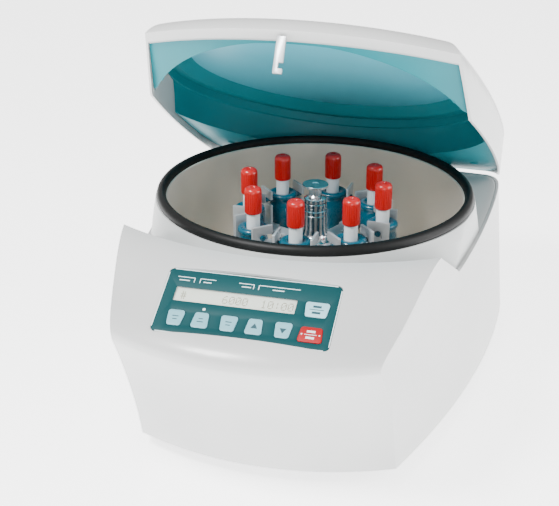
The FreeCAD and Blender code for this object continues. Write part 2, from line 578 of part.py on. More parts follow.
def lid_wire(level, front_y, inset, share=1.0):
    """Plan wire of the lid: its sides follow the housing's sides at deck level.

    share draws the wire in towards the middle of the lid, for the dome.
    """
    corner_x = size("high_corner_x")
    corner_y = size("high_corner_y")
    widest = side_max(size("deck_level"))
    middle = size("lid_middle_y")
    radius = size("step_radius") + inset
    start = front_y + inset * 1.3
    x = side_x(start, corner_x, corner_y, widest) - inset
    bulge = radius - math.sqrt(radius ** 2 - x ** 2)
    rear = size("lid_rear_y") - inset
    right = []
    for step in range(7):
        y = start + (size("side_max_y") - start) * step / 6
        right.append((side_x(y, corner_x, corner_y, widest) - inset, y))
    right.append((widest - 1.0 - inset, rear - 34))
    right.append((widest - 5 - inset, rear - 14))
    right.append((widest - 16 - inset, rear - 4))

    def place(x_value, y_value):
        return Vector(x_value * share, middle + (y_value - middle) * share, level)

    points = [place(x_value, y_value) for x_value, y_value in right]
    mirrored = [Vector(-p.x, p.y, p.z) for p in reversed(points)]
    front = Part.Arc(mirrored[-1], place(0, start - bulge), points[0])
    back = Part.Arc(points[-1], place(0, rear), mirrored[0])
    curve_right = Part.BSplineCurve()
    curve_right.interpolate(points)
    curve_left = Part.BSplineCurve()
    curve_left.interpolate(mirrored)
    return Part.Wire([front.toShape(), curve_right.toShape(), back.toShape(), curve_left.toShape()])


def lid_solid(name, inset, foot, crown_drop):
    """Lower band that follows the step, and a low dome above it."""
    slope = size("step_run") / (size("peak_level") - size("deck_level"))
    edge = size("lid_edge")

    def front_y(level):
        return size("step_foot_y") + 3.2 - (level - size("deck_level")) * slope

    band = Part.makeLoft([lid_wire(foot, front_y(foot), inset), lid_wire(edge, front_y(edge), inset)],
                         True, True)
    crown = size("lid_crown") - crown_drop
    dome_wires = [lid_wire(edge + (crown - edge) * rise, front_y(edge), inset, share)
                  for rise, share in ((0.0, 1.0), (0.42, 0.955), (0.74, 0.86), (0.93, 0.68), (1.0, 0.42))]
    dome = Part.makeLoft(dome_wires, True, False)
    return shape_feature(name, band.fuse(dome))


lid_outer = lid_solid("lid_outer", 0.0, size("lid_rim"), 0.0)
lid_hollow = lid_solid("lid_hollow", size("lid_wall"), size("lid_rim") - 4, size("lid_wall"))
lid_lining = lid_solid("lid_lining", size("lid_wall") + 0.3, size("lid_rim") - 4, size("lid_wall") + 0.3)

# the room that the collar and gasket need under the closed lid
clear_room = turned("clear_room", [
    ("0", "120"), ("$collar_foot + 2", "120"), ("$collar_foot + 2", "$deck_level"),
    ("$collar_top + 2", "$collar_level"), ("$recess_radius", "$collar_level + 1"),
    ("$recess_radius", "$seal_land - 0.1"), ("0", "$seal_land - 0.1")])

# rear lower edge of the lid, lifted so that it swings clear of the deck
heel = [Vector(-260, 188, 150), Vector(-260, 188, size("lid_rim")), Vector(-260, 216, 172),
        Vector(-260, 260, 172), Vector(-260, 260, 150)]
lid_heel = shape_feature("lid_heel", Part.Face(Part.makePolygon(heel + heel[:1])).extrude(Vector(520, 0, 0)))


def swung(name, shape_source):
    """Place a finished closed-lid piece in the open position about the rear hinge."""
    turn = Rotation(Vector(1, 0, 0), -size("lid_open"))
    pivot = Vector(0, size("hinge_y"), size("hinge_z"))
    shape_source.Placement = Placement(pivot - turn.multVec(pivot), turn).multiply(shape_source.Placement)
    return node(shape_source, name)


front_room = common("front_room", [clear_room, box("front_half", ("400", "200", "200"), ("-200", "-272", "60"))])
front_edge = size("step_foot_y") + 3.2 - (size("lid_edge") - size("deck_level")) * size("step_run") / (
    size("peak_level") - size("deck_level"))
apron_prism = shape_feature("apron_prism", Part.Face(
    lid_wire(100, front_edge - 12, size("lid_wall"))).extrude(Vector(0, 0, size("lip_level") - 100)))
apron = cut("front_apron", apron_prism, step_space("apron_back", size("apron_depth"), 0, 140))
lid_shell = cut_all("lid_shell_cut", lid_outer, [lid_hollow, front_room, lid_heel, apron])
swung("lid_shell", lid_shell)

level_shift = size("liner_level") - size("deck_level")
step_slope = size("step_run") / (size("peak_level") - size("deck_level"))
step_back = size("liner_depth") - level_shift * step_slope
liner_low = step_space("liner_low", step_back, level_shift, 60)
liner_high = step_space("liner_high", step_back + 0.6, level_shift + size("liner_thick"), 60)
liner_sheet = cut("liner_sheet", liner_low, liner_high)
recess_wall = turned("recess_wall", [
    ("$collar_foot + 2", "$deck_level"), ("$collar_foot + 2 + $liner_thick", "$deck_level"),
    ("$collar_top + 2 + $liner_thick", "$collar_level"),
    ("$recess_radius + $liner_thick", "$collar_level + 2"),
    ("$recess_radius + $liner_thick", "$seal_land + $liner_thick"),
    ("$land_in", "$seal_land + $liner_thick"), ("$disc_radius + 0.6", "$disc_level + $liner_thick"),
    ("$disc_radius", "$disc_level + $liner_thick"), ("$disc_radius", "$disc_level"),
    ("$disc_radius + 0.6", "$disc_level"),
    ("$land_in + 0.6", "$seal_land"), ("$recess_radius", "$seal_land"),
    ("$recess_radius", "$collar_level + 1"), ("$collar_top + 2", "$collar_level")])
liner_top = cut("recess_trimmed", recess_wall, cut("below_sheet", box(
    "below_box", ("520", "700", "120"), ("-260", "-300", "100")), liner_low))
liner_parts = [liner_sheet, liner_top]
liner_cuts = [clear_room, lid_heel]
bores = []
for side in (-1, 1):
    low_x = f"{side} * ($arm_in + $arm_out) / 2 - ($arm_out - $arm_in) / 2"
    liner_parts.append(cylinder(f"arm_round_{side + 1}", "8", "$arm_out - $arm_in",
                                (low_x, "$hinge_y", "$hinge_z"), Vector(1, 0, 0)))
    liner_parts.append(box(f"arm_web_{side + 1}", ("$arm_out - $arm_in", "14", "14"),
                           (low_x, "$hinge_y - 7", "$hinge_z")))
    barrel_x = f"{side} * ($barrel_in + $barrel_out) / 2 - ($barrel_out - $barrel_in) / 2 - 3"
    liner_cuts.append(box(f"barrel_room_{side + 1}", ("$barrel_out - $barrel_in + 5.5", "34", "30"),
                          (barrel_x, "$hinge_y - 11", "$hinge_z - 18")))
    bores.append(cylinder(f"arm_bore_{side + 1}", "$pin_radius", "80",
                          (f"{side} * $arm_in - 40", "$hinge_y", "$hinge_z"), Vector(1, 0, 0)))
striker_room = box("striker_room", ("2 * $striker_half", "3", "$striker_top - $striker_foot"),
                   ("$striker_x - $striker_half", "$striker_y - 1.5", "$striker_foot"))
liner_fused = fuse("liner_fused", liner_parts)
liner_inside = common("liner_inside", [liner_fused, lid_lining])
liner_done = cut_all("liner_cut", liner_inside, liner_cuts + bores + [striker_room])
swung("lid_liner", liner_done)
swung("lid_disc", turned("disc_body", [
    ("0", "$disc_level"), ("$disc_radius", "$disc_level"), ("$disc_radius", "$disc_level + $liner_thick"),
    ("0", "$disc_level + $liner_thick")]))

pins = [cylinder(f"hinge_pin_{side + 1}", "$pin_radius", "$arm_out - $barrel_in + 4",
                 ("$barrel_in - 2" if side > 0 else "-$arm_out - 2", "$hinge_y", "$hinge_z"), Vector(1, 0, 0))
        for side in (-1, 1)]
swung("hinge_pins", fuse("hinge_pin_pair", pins))

striker_blank = box("striker_blank", ("2 * $striker_half", "3", "$striker_top - $striker_foot"),
                    ("$striker_x - $striker_half", "$striker_y - 1.5", "$striker_foot"))
striker_eye = box("striker_eye", ("30", "8", "5.2"), ("$striker_x", "$striker_y - 4", "$bolt_level - 2.6"))
swung("lid_striker", cut("striker_cut", striker_blank, striker_eye))

# hinge brackets stand on the rear of the deck
brackets = []
for side in (-1, 1):
    low_x = f"{side} * ($barrel_in + $barrel_out) / 2 - ($barrel_out - $barrel_in) / 2"
    foot = box(f"bracket_foot_{side + 1}", ("$barrel_out - $barrel_in", "14.5", "$hinge_z - $deck_level"),
               (low_x, "$hinge_y - 8", "$deck_level"))
    barrel = cylinder(f"bracket_barrel_{side + 1}", "$barrel_radius", "$barrel_out - $barrel_in",
                      (low_x, "$hinge_y", "$hinge_z"), Vector(1, 0, 0))
    bore = cylinder(f"bracket_bore_{side + 1}", "$pin_radius + 0.05", "60",
                    (f"{side} * ($barrel_in + $barrel_out) / 2 - 30", "$hinge_y", "$hinge_z"),
                    Vector(1, 0, 0))
    brackets.append(cut(f"bracket_{side + 1}", fuse(f"bracket_blank_{side + 1}", [foot, barrel]), bore))
node(fuse("bracket_pair", brackets), "hinge_brackets")

# ---------------------------------------------------------------- check and export

doc.recompute()
for obj in doc.Objects:
    if "Invalid" in obj.State or "Error" in obj.State:
        raise RuntimeError(f"{obj.Name} ({obj.Label}) did not recompute: {obj.State}")
os.makedirs("parts", exist_ok=True)
for obj in NODES:
    shape = obj.Shape
    if shape.isNull() or not shape.isValid() or not shape.Solids:
        raise RuntimeError(f"{obj.Label} has no valid solid")
    shape.exportStep(f"parts/{obj.Label}.step")
    low, high = shape.BoundBox.ZMin, shape.BoundBox.ZMax
    print(f"{obj.Label:18s} solids {len(shape.Solids)} volume {shape.Volume / 1000:9.2f} cm3 z {low:.1f}..{high:.1f}")
print(len(NODES), "nodes")
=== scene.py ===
"""Bench-top laboratory centrifuge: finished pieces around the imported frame."""
import json
import math

import bpy
from mathutils import Matrix, Vector


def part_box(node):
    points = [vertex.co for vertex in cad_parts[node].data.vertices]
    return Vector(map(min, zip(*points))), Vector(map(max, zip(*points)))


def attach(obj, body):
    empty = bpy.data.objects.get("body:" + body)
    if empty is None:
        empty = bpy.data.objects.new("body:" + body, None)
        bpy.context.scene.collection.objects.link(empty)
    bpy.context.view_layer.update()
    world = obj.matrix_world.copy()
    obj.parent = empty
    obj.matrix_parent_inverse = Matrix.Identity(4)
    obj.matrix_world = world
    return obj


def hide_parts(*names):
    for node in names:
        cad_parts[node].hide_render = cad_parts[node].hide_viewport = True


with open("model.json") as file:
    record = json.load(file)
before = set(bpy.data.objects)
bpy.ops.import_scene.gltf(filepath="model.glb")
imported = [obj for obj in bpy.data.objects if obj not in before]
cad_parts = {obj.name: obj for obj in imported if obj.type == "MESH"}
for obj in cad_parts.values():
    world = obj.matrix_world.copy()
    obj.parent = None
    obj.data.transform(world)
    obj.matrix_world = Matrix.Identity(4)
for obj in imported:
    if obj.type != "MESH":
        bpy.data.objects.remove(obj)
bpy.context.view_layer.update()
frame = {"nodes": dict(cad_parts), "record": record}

bl_info = {
    "name": "Bench-top centrifuge",
    "version": (1, 0, 0),
    "blender": (4, 5, 0),
    "location": "View3D > Sidebar > Centrifuge",
    "description": "Builds the finished pieces of a bench-top laboratory centrifuge",
    "category": "Object",
}

MM = 0.001
PLACES = 8
FIRST_ANGLE = 132.6
PIVOT_RADIUS = 69.0
PANEL_TILT = math.radians(28.3)
PANEL_FOOT = Vector((-3.0, -262.0, 167.0))
PANEL_WIDE = 150.0
PANEL_TALL = 64.7
LID_OPEN = math.radians(30)
HINGE = Vector((0.0, 192.0, 174.0))
FINISHES = {}


# ------------------------------------------------------------------ materials

def linear(hex_colour):
    """An sRGB hex colour as linear numbers with full alpha."""
    channels = [int(hex_colour[i:i + 2], 16) / 255 for i in (1, 3, 5)]
    return tuple(c / 12.92 if c <= 0.04045 else ((c + 0.055) / 1.055) ** 2.4 for c in channels) + (1.0,)


def add_node(tree, kind, settings=None, links=None):
    """Add one node. A lower-case setting is the node's own, and any other name or number is a socket."""
    made = tree.nodes.new(kind)
    for key, value in (settings or {}).items():
        if str(key).islower():
            setattr(made, key, value)
        else:
            made.inputs[key].default_value = value
    for key, source in (links or {}).items():
        tree.links.new(source, made.inputs[key])
    return made


def new_material(name, hex_colour, roughness, metallic=0.0, ior=1.5, coat=0.0):
    """A material with its shader's constants set; returns the material, its tree and its shader."""
    made = bpy.data.materials.new(name)
    made.use_nodes = True
    made.diffuse_color = linear(hex_colour)
    shader = made.node_tree.nodes["Principled BSDF"]
    for key, value in (("Base Color", linear(hex_colour)), ("Roughness", roughness), ("Metallic", metallic),
                       ("IOR", ior), ("Coat Weight", coat), ("Coat Roughness", 0.12)):
        shader.inputs[key].default_value = value
    return made, made.node_tree, shader


def rough_and_bump(tree, shader, height, roughness, spread, strength, depth_mm):
    """Let one pattern drive both the roughness and the fine relief."""
    rough = add_node(tree, "ShaderNodeMapRange", {"To Min": roughness - spread, "To Max": roughness + spread},
                     {"Value": height})
    tree.links.new(rough.outputs["Result"], shader.inputs["Roughness"])
    bump = add_node(tree, "ShaderNodeBump", {"Strength": strength, "Distance": depth_mm * MM},
                    {"Height": height})
    tree.links.new(bump.outputs["Normal"], shader.inputs["Normal"])


def moulded(name, hex_low, hex_high, roughness, grain_mm, depth_mm, coat=0.0, shine=0.5):
    """Moulded plastic, rubber or paint: a slow drift of colour under a fine all-over texture."""
    made, tree, shader = new_material(name, hex_high, roughness, coat=coat)
    shader.inputs["Specular IOR Level"].default_value = shine
    where = add_node(tree, "ShaderNodeTexCoord").outputs["Object"]
    drift = add_node(tree, "ShaderNodeTexNoise", {"Scale": 9.0, "Detail": 3.0}, {"Vector": where})
    blend = add_node(tree, "ShaderNodeValToRGB", links={"Fac": drift.outputs["Fac"]})
    low, high = blend.color_ramp.elements
    low.color, low.position = linear(hex_low), 0.3
    high.color, high.position = linear(hex_high), 0.7
    tree.links.new(blend.outputs["Color"], shader.inputs["Base Color"])
    grain = add_node(tree, "ShaderNodeTexNoise", {"Scale": 1.0 / (grain_mm * MM), "Detail": 2.0},
                     {"Vector": where})
    rough_and_bump(tree, shader, grain.outputs["Fac"], roughness, 0.05, 0.25, depth_mm)
    return made


def turned_metal(name, hex_colour, roughness, ring_mm, strength, metallic=1.0):
    """Metal turned or brushed about the Z axis: fine rings that follow radius and height."""
    made, tree, shader = new_material(name, hex_colour, roughness, metallic=metallic)
    where = add_node(tree, "ShaderNodeTexCoord").outputs["Object"]
    parts = add_node(tree, "ShaderNodeSeparateXYZ", links={"Vector": where})
    flat = add_node(tree, "ShaderNodeCombineXYZ", links={"X": parts.outputs["X"], "Y": parts.outputs["Y"]})
    radius = add_node(tree, "ShaderNodeVectorMath", {"operation": "LENGTH"}, {0: flat.outputs["Vector"]})
    around = add_node(tree, "ShaderNodeCombineXYZ",
                      links={"X": radius.outputs["Value"], "Z": parts.outputs["Z"]})
    rings = add_node(tree, "ShaderNodeTexNoise", {"Scale": 1.0 / (ring_mm * MM), "Detail": 3.0,
                                                  "Roughness": 0.7}, {"Vector": around.outputs["Vector"]})
    rough_and_bump(tree, shader, rings.outputs["Fac"], roughness, 0.08, strength, 0.02)
    return made


def clear_window():
    """Cast acrylic window over the display: clear, with a polished face and faint wiping marks."""
    made, tree, shader = new_material("cast_acrylic_window", "#E9EEEC", 0.1, ior=1.49)
    shader.inputs["Alpha"].default_value = 0.12
    where = add_node(tree, "ShaderNodeTexCoord").outputs["Object"]
    marks = add_node(tree, "ShaderNodeTexNoise", {"Scale": 40.0}, {"Vector": where})
    rough_and_bump(tree, shader, marks.outputs["Fac"], 0.1, 0.03, 0.05, 0.005)
    return made


def make_finishes():
    """Every finish on the machine, each named for its real material and how its surface was made; the deck's
    greyer paint is painted shade and the disc's brighter teal is painted light.
    """
    # structural polyurethane, sprayed white: soft sheen with a hint of orange peel
    FINISHES["shell"] = moulded("sprayed_polyurethane_white", "#BFC0C0", "#C6C7C6", 0.34, 1.2, 0.015, 0.2)
    # the same paint on the deck, made greyer: painted shade for the deck lying in shadow
    FINISHES["deck"] = moulded("sprayed_polyurethane_deck_painted_shade", "#B0B3B3", "#B8BBBA", 0.38, 1.2, 0.015, 0.15)
    # ABS moulded in a spark-eroded tool, teal, with a soft sheen
    FINISHES["liner"] = moulded("moulded_abs_teal", "#006C76", "#027680", 0.45, 0.6, 0.03, shine=0.35)
    # the flat disc of the liner is polished a little smoother than its rim, and its teal is painted brighter:
    # painted light for the light falling on the disc
    FINISHES["disc"] = moulded("moulded_abs_teal_disc_painted_light", "#469CAE", "#50A6B8", 0.42, 0.6, 0.02, shine=0.4)
    FINISHES["hinge"] = moulded("moulded_abs_teal_hinge", "#05606C", "#086874", 0.4, 0.6, 0.03)
    # polyester film printed from behind
    FINISHES["foil"] = moulded("printed_polyester_film_teal", "#00393D", "#003F43", 0.55, 1.5, 0.004,
                               shine=0.2)
    FINISHES["key"] = moulded("printed_polyester_film_pale", "#6FA9B6", "#7CB3BF", 0.45, 1.5, 0.004)
    FINISHES["start"] = moulded("printed_polyester_film_ice", "#93C6D2", "#A0CFDA", 0.45, 1.5, 0.004)
    FINISHES["stop"] = moulded("printed_polyester_film_red", "#98040F", "#A40814", 0.5, 1.5, 0.004,
                               shine=0.25)
    FINISHES["white_ink"] = moulded("screen_ink_white", "#D8ECEE", "#E4F3F4", 0.5, 1.5, 0.002)
    FINISHES["dark_ink"] = moulded("screen_ink_dark", "#0A3A44", "#0E414B", 0.5, 1.5, 0.002)
    # display: grey-green backing with olive dots
    FINISHES["lcd"] = moulded("liquid_crystal_backing", "#D3DACB", "#DCE2D4", 0.5, 2.0, 0.002)
    FINISHES["lcd_dot"] = moulded("liquid_crystal_dot", "#6B6536", "#746E40", 0.5, 2.0, 0.002)
    # nitrile rubber, moulded: dark with a dull sheen
    FINISHES["rubber"] = moulded("moulded_nitrile_rubber", "#040505", "#070808", 0.5, 0.8, 0.02, shine=0.25)
    # stainless bowl, deep drawn and brushed round its axis
    FINISHES["bowl"] = turned_metal("drawn_stainless_brushed", "#E9DFD3", 0.42, 1.1, 0.12, 0.45)
    # stainless turned bright on a lathe
    FINISHES["hub"] = turned_metal("lathe_turned_stainless", "#DADBDD", 0.17, 0.7, 0.2)
    # laser-cut stainless sheet, tumbled
    FINISHES["sheet"] = turned_metal("tumbled_stainless_sheet", "#C4C8CB", 0.4, 1.8, 0.1, 0.55)
    # aluminium bucket, hard-coated teal
    FINISHES["bucket"] = moulded("hard_coated_aluminium_teal", "#024F63", "#04586D", 0.28, 0.9, 0.01, 0.3)
    # polyethylene cap and polypropylene tube
    FINISHES["cap"] = moulded("moulded_polyethylene_red", "#B00606", "#BC0B09", 0.3, 0.9, 0.01, 0.15)
    FINISHES["tube"] = moulded("moulded_polypropylene_white", "#D6DFE3", "#E2E9EC", 0.34, 0.9, 0.008)
    FINISHES["black"] = moulded("moulded_nylon_black", "#0F1011", "#17181A", 0.4, 0.6, 0.03)
    FINISHES["paint"] = moulded("powder_coated_steel", "#3D3F42", "#484A4E", 0.5, 1.0, 0.04)
    FINISHES["board"] = moulded("lacquered_circuit_board", "#0F4326", "#14532F", 0.35, 1.0, 0.01)
    FINISHES["window"] = clear_window()


# ------------------------------------------------------------------ the frame's own words

def body_holding(node):
    for body, nodes in frame["record"]["behaviour"]["bodies"].items():
        if node in nodes:
            return body
    raise RuntimeError(f"no body holds {node}")


def slot_of(node):
    for entry in frame["record"]["subparts"]:
        if entry["node"] == node:
            return entry["material_slot"]
    raise RuntimeError(f"no slot for {node}")


def low_and_high(node):
    """A CAD node's corners in millimetres."""
    low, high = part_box(node)
    return low / MM, high / MM


# ------------------------------------------------------------------ shaping helpers

def only(piece):
    """Make one object the only one selected, and active."""
    bpy.ops.object.select_all(action="DESELECT")
    piece.select_set(True)
    bpy.context.view_layer.objects.active = piece


def settle(piece):
    """Put a piece's place into its mesh, so that its object sits at the origin."""
    only(piece)
    bpy.ops.object.transform_apply(location=True, rotation=True, scale=True)
    return piece


def dress(piece, finish, body, slot, *nodes):
    """Give a piece its finish, its body and the CAD nodes that it stands for; its slot is not used."""
    piece.data.materials.clear()
    piece.data.materials.append(FINISHES[finish])
    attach(piece, body)
    if nodes:
        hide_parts(*nodes)
    return piece


def ease_edges(piece, width_mm, segments=2, angle=32):
    """Round every edge sharper than the angle, and apply it."""
    only(piece)
    ease = piece.modifiers.new("eased_edges", "BEVEL")
    ease.width = width_mm * MM
    ease.segments = segments
    ease.limit_method = "ANGLE"
    ease.angle_limit = math.radians(angle)
    bpy.ops.object.modifier_apply(modifier=ease.name)


def smooth(piece, angle=40):
    only(piece)
    bpy.ops.object.shade_smooth_by_angle(angle=math.radians(angle))


def finish_node(node, finish, ease_mm=0.0, angle=32, segments=2):
    """A welded copy of a CAD piece with eased edges and smooth faces, standing for the node."""
    piece = bpy.data.objects.new(node + "_finish", frame["nodes"][node].data.copy())
    bpy.context.collection.objects.link(piece)
    only(piece)
    bpy.ops.object.mode_set(mode="EDIT")
    bpy.ops.mesh.select_all(action="SELECT")
    bpy.ops.mesh.remove_doubles(threshold=0.00001)
    bpy.ops.object.mode_set(mode="OBJECT")
    if ease_mm:
        ease_edges(piece, ease_mm, segments, angle)
    smooth(piece, angle + 8)
    return dress(piece, finish, body_holding(node), slot_of(node), node)


def spun(name, profile, steps=96):
    """A closed (radius, level) outline in millimetres, turned about the Z axis."""
    bpy.ops.object.select_all(action="DESELECT")
    bpy.ops.mesh.primitive_plane_add(size=0.001, location=(0, 0, 0))
    piece = bpy.context.object
    piece.name = name
    bpy.ops.object.mode_set(mode="EDIT")
    bpy.ops.mesh.select_mode(type="VERT")
    bpy.ops.mesh.select_all(action="SELECT")
    bpy.ops.mesh.merge(type="CENTER")
    spots = [Vector((radius, 0, level)) * MM for radius, level in profile]
    bpy.ops.transform.translate(value=spots[0])
    for before, after in zip(spots, spots[1:] + spots[:1]):
        bpy.ops.mesh.extrude_region_move(TRANSFORM_OT_translate={"value": after - before})
    bpy.ops.mesh.select_all(action="SELECT")
    bpy.ops.mesh.remove_doubles(threshold=0.000005)
    bpy.ops.mesh.spin(steps=steps, angle=2 * math.pi, center=(0, 0, 0), axis=(0, 0, 1))
    bpy.ops.mesh.select_all(action="SELECT")
    bpy.ops.mesh.remove_doubles(threshold=0.000005)
    bpy.ops.mesh.normals_make_consistent(inside=False)
    bpy.ops.object.mode_set(mode="OBJECT")
    return piece


def joined(name, pieces):
    """Join several pieces into one."""
    bpy.ops.object.select_all(action="DESELECT")
    for piece in pieces:
        piece.select_set(True)
    bpy.context.view_layer.objects.active = pieces[0]
    bpy.ops.object.join()
    whole = bpy.context.object
    whole.name = name
    return settle(whole)


def copied(piece, name, move):
    """A copy with its own mesh, moved by a matrix."""
    twin = bpy.data.objects.new(name, piece.data.copy())
    bpy.context.collection.objects.link(twin)
    twin.data.transform(move)
    return twin


def remove(piece):
    only(piece)
    bpy.ops.object.delete()


def tile(spot, size_mm, turn=(0, 0, 0)):
    """One small block at a place in metres, joined to its neighbours later."""
    bpy.ops.object.select_all(action="DESELECT")
    bpy.ops.mesh.primitive_cube_add(size=1, location=spot, rotation=turn)
    block = bpy.context.object
    block.scale = [side * MM for side in size_mm]
    return block


def disc(spot, radius_mm, thick_mm, turn=(0, 0, 0), corners=32):
    """One small round slug at a place in metres."""
    bpy.ops.object.select_all(action="DESELECT")
    bpy.ops.mesh.primitive_cylinder_add(vertices=corners, radius=radius_mm * MM, depth=thick_mm * MM,
                                        location=spot, rotation=turn)
    return bpy.context.object


def panel_point(x_mm, v_mm, lift_mm):
    """A place on the control panel: across from the machine's middle, up the slope, and off it."""
    up = Vector((0, math.cos(PANEL_TILT), math.sin(PANEL_TILT)))
    out = Vector((0, -math.sin(PANEL_TILT), math.cos(PANEL_TILT)))
    foot = Vector((x_mm, PANEL_FOOT.y, PANEL_FOOT.z))
    return (foot + up * v_mm + out * lift_mm) * MM


def on_panel(x_mm, v_mm, wide, tall, lift=0.55, thick=0.1):
    """A printed bar lying on the panel or on a key."""
    return tile(panel_point(x_mm, v_mm, lift), (wide, tall, thick), (PANEL_TILT, 0, 0))


def open_lid_point(x_mm, y_mm, z_mm):
    """Where a point of the closed lid is when the lid stands open, in millimetres."""
    arm = Vector((0, y_mm, z_mm)) - HINGE
    cosine, sine = math.cos(LID_OPEN), math.sin(LID_OPEN)
    return Vector((x_mm, HINGE.y + arm.y * cosine + arm.z * sine, HINGE.z - arm.y * sine + arm.z * cosine))


def place_matrix(index):
    """Moves something drawn on the rotor axis out to one of the eight places."""
    angle = math.radians(FIRST_ANGLE - index * 360.0 / PLACES)
    return (Matrix.Rotation(angle, 4, "Z") @ Matrix.Translation((PIVOT_RADIUS * MM, 0, 0)))


# ------------------------------------------------------------------ settings

class CentrifugeSettings(bpy.types.PropertyGroup):
    shell_ease: bpy.props.FloatProperty(
        name="Shell ease", description="Radius of the eased edges on the white mouldings, in millimetres",
        default=1.4, min=0.2, max=3.0)
    floor_size: bpy.props.FloatProperty(
        name="Floor size", description="Width of the floor", default=40.0, unit="LENGTH")
    lens: bpy.props.FloatProperty(
        name="Lens", description="Focal length of the camera in millimetres", default=74.3)
    turn_steps: bpy.props.IntProperty(
        name="Turn steps", description="Faces round a turned piece", default=128, min=24, max=256)


class CENTRIFUGE_OT_stage(bpy.types.Operator):
    """Lit white table, soft lights and the camera"""
    bl_idname = "centrifuge.stage"
    bl_label = "Stage"

    def execute(self, context):
        settings = context.scene.centrifuge
        bpy.ops.object.select_all(action="DESELECT")
        bpy.ops.mesh.primitive_plane_add(size=settings.floor_size, location=(0, 0, 0))
        floor = context.object
        floor.name = "lit_table"
        # opal acrylic table, lit from below, with a faint polish
        table, tree, shader = new_material("opal_acrylic_table", "#F4F4F4", 0.2)
        shader.inputs["Emission Color"].default_value = (1, 1, 1, 1)
        shader.inputs["Emission Strength"].default_value = 3.0
        where = add_node(tree, "ShaderNodeTexCoord").outputs["Object"]
        drift = add_node(tree, "ShaderNodeTexNoise", {"Scale": 2.0}, {"Vector": where})
        rough_and_bump(tree, shader, drift.outputs["Fac"], 0.12, 0.03, 0.0, 0.01)
        floor.data.materials.append(table)
        settle(floor)

        world = bpy.data.worlds.new("studio")
        world.use_nodes = True
        world.node_tree.nodes["Background"].inputs["Color"].default_value = (1, 1, 1, 1)
        world.node_tree.nodes["Background"].inputs["Strength"].default_value = 0.7
        context.scene.world = world

        for name, place, aim, size, power in (
                ("side_light", (2.2, 0.1, 1.0), (0.1, 0, 0.15), 1.6, 60),
                ("bowl_light", (-0.5, -0.75, 1.25), (0.02, 0.06, 0.12), 0.35, 34),
                ("liner_light", (0.5, -1.5, 0.35), (0, 0.05, 0.32), 0.5, 5)):
            bpy.ops.object.light_add(type="AREA", location=place)
            light = context.object
            light.name = name
            light.data.shape = "SQUARE"
            light.data.size = size
            light.data.energy = power
            light.rotation_euler = (Vector(aim) - Vector(place)).to_track_quat("-Z", "Y").to_euler()

        camera = bpy.data.objects.new("camera", bpy.data.cameras.new("camera"))
        context.collection.objects.link(camera)
        yaw, pitch, roll = math.radians(-13.3), math.radians(24.7), math.radians(0.6)
        forward = Vector((math.sin(yaw) * math.cos(pitch), math.cos(yaw) * math.cos(pitch), -math.sin(pitch)))
        right = Vector((math.cos(yaw), -math.sin(yaw), 0.0))
        up = right.cross(forward)
        right_rolled = right * math.cos(roll) + up * math.sin(roll)
        up_rolled = up * math.cos(roll) - right * math.sin(roll)
        turn = Matrix((right_rolled, up_rolled, -forward)).transposed()
        camera.matrix_world = Matrix.Translation((0.238, -1.0434, 0.611)) @ turn.to_4x4()
        camera.data.lens = settings.lens
        camera.data.sensor_width = 36
        camera.data.shift_x = -0.0476
        camera.data.shift_y = 0.0197
        context.scene.camera = camera
        return {"FINISHED"}


class CENTRIFUGE_OT_housing(bpy.types.Operator):
    """Housing, deck, base plate and feet"""
    bl_idname = "centrifuge.housing"
    bl_label = "Housing"

    def execute(self, context):
        finish_node("housing", "shell", context.scene.centrifuge.shell_ease, 30, 3)
        finish_node("top_deck", "deck", 0.5, 30)
        finish_node("base_plate", "paint", 0.3)
        finish_node("rubber_feet", "rubber", 1.0)
        return {"FINISHED"}


class CENTRIFUGE_OT_bowl(bpy.types.Operator):
    """Drawn steel bowl, rubber gasket with its lip, and the shaft seal"""
    bl_idname = "centrifuge.bowl"
    bl_label = "Bowl"

    def execute(self, context):
        steps = context.scene.centrifuge.turn_steps
        low, high = low_and_high("bowl")
        inner, skin = 146.0, 1.2
        foot, flange = low.z, high.x
        corner = [(inner + skin - 16 + 16 * math.sin(math.radians(a)),
                   foot + 16 - 16 * math.cos(math.radians(a))) for a in range(0, 91, 10)]
        inside = [(inner - 14.8 + 14.8 * math.sin(math.radians(a)),
                   foot + skin + 14.8 - 14.8 * math.cos(math.radians(a))) for a in range(90, -1, -10)]
        bowl = spun("bowl_drawn", [(14.2, foot)] + corner + [
            (inner + skin, high.z - skin), (flange, high.z - skin), (flange, high.z), (inner + 0.8, high.z),
            (inner, high.z - 0.8)] + inside + [(14.2, foot + skin)], steps)
        smooth(bowl, 35)
        dress(bowl, "bowl", "base", slot_of("bowl"), "bowl")

        low, high = low_and_high("bowl_gasket")
        reach, top, seat = high.x, high.z, low.z
        gasket = spun("gasket_ring", [
            (147.3, seat + 1.2), (153.7, seat + 1.2), (153.7, seat), (reach - 0.6, seat), (reach, seat + 1.6),
            (reach, top - 5.4), (reach - 0.7, top - 3.2), (reach - 2.2, top - 1.2), (reach - 4.4, top - 0.2),
            (reach - 5.6, top), (reach - 6.6, top - 0.3), (149.2, top - 1.0), (147.8, top - 2.4),
            (147.2, top - 4.6)],
            steps)
        smooth(gasket, 50)
        dress(gasket, "rubber", "base", slot_of("bowl_gasket"), "bowl_gasket")
        finish_node("shaft_seal", "rubber", 0.3)
        return {"FINISHED"}


class CENTRIFUGE_OT_drive(bpy.types.Operator):
    """Motor, dampers, boards and the lid lock inside the housing"""
    bl_idname = "centrifuge.drive"
    bl_label = "Drive"

    def execute(self, context):
        for node, finish in (("motor_stator", "paint"), ("motor_mount", "sheet"), ("damper_mounts", "rubber"),
                             ("control_board", "board"), ("keypad_board", "board"),
                             ("lid_lock_case", "black"),
                             ("lid_lock_hook", "sheet")):
            finish_node(node, finish, 0.3)
        return {"FINISHED"}


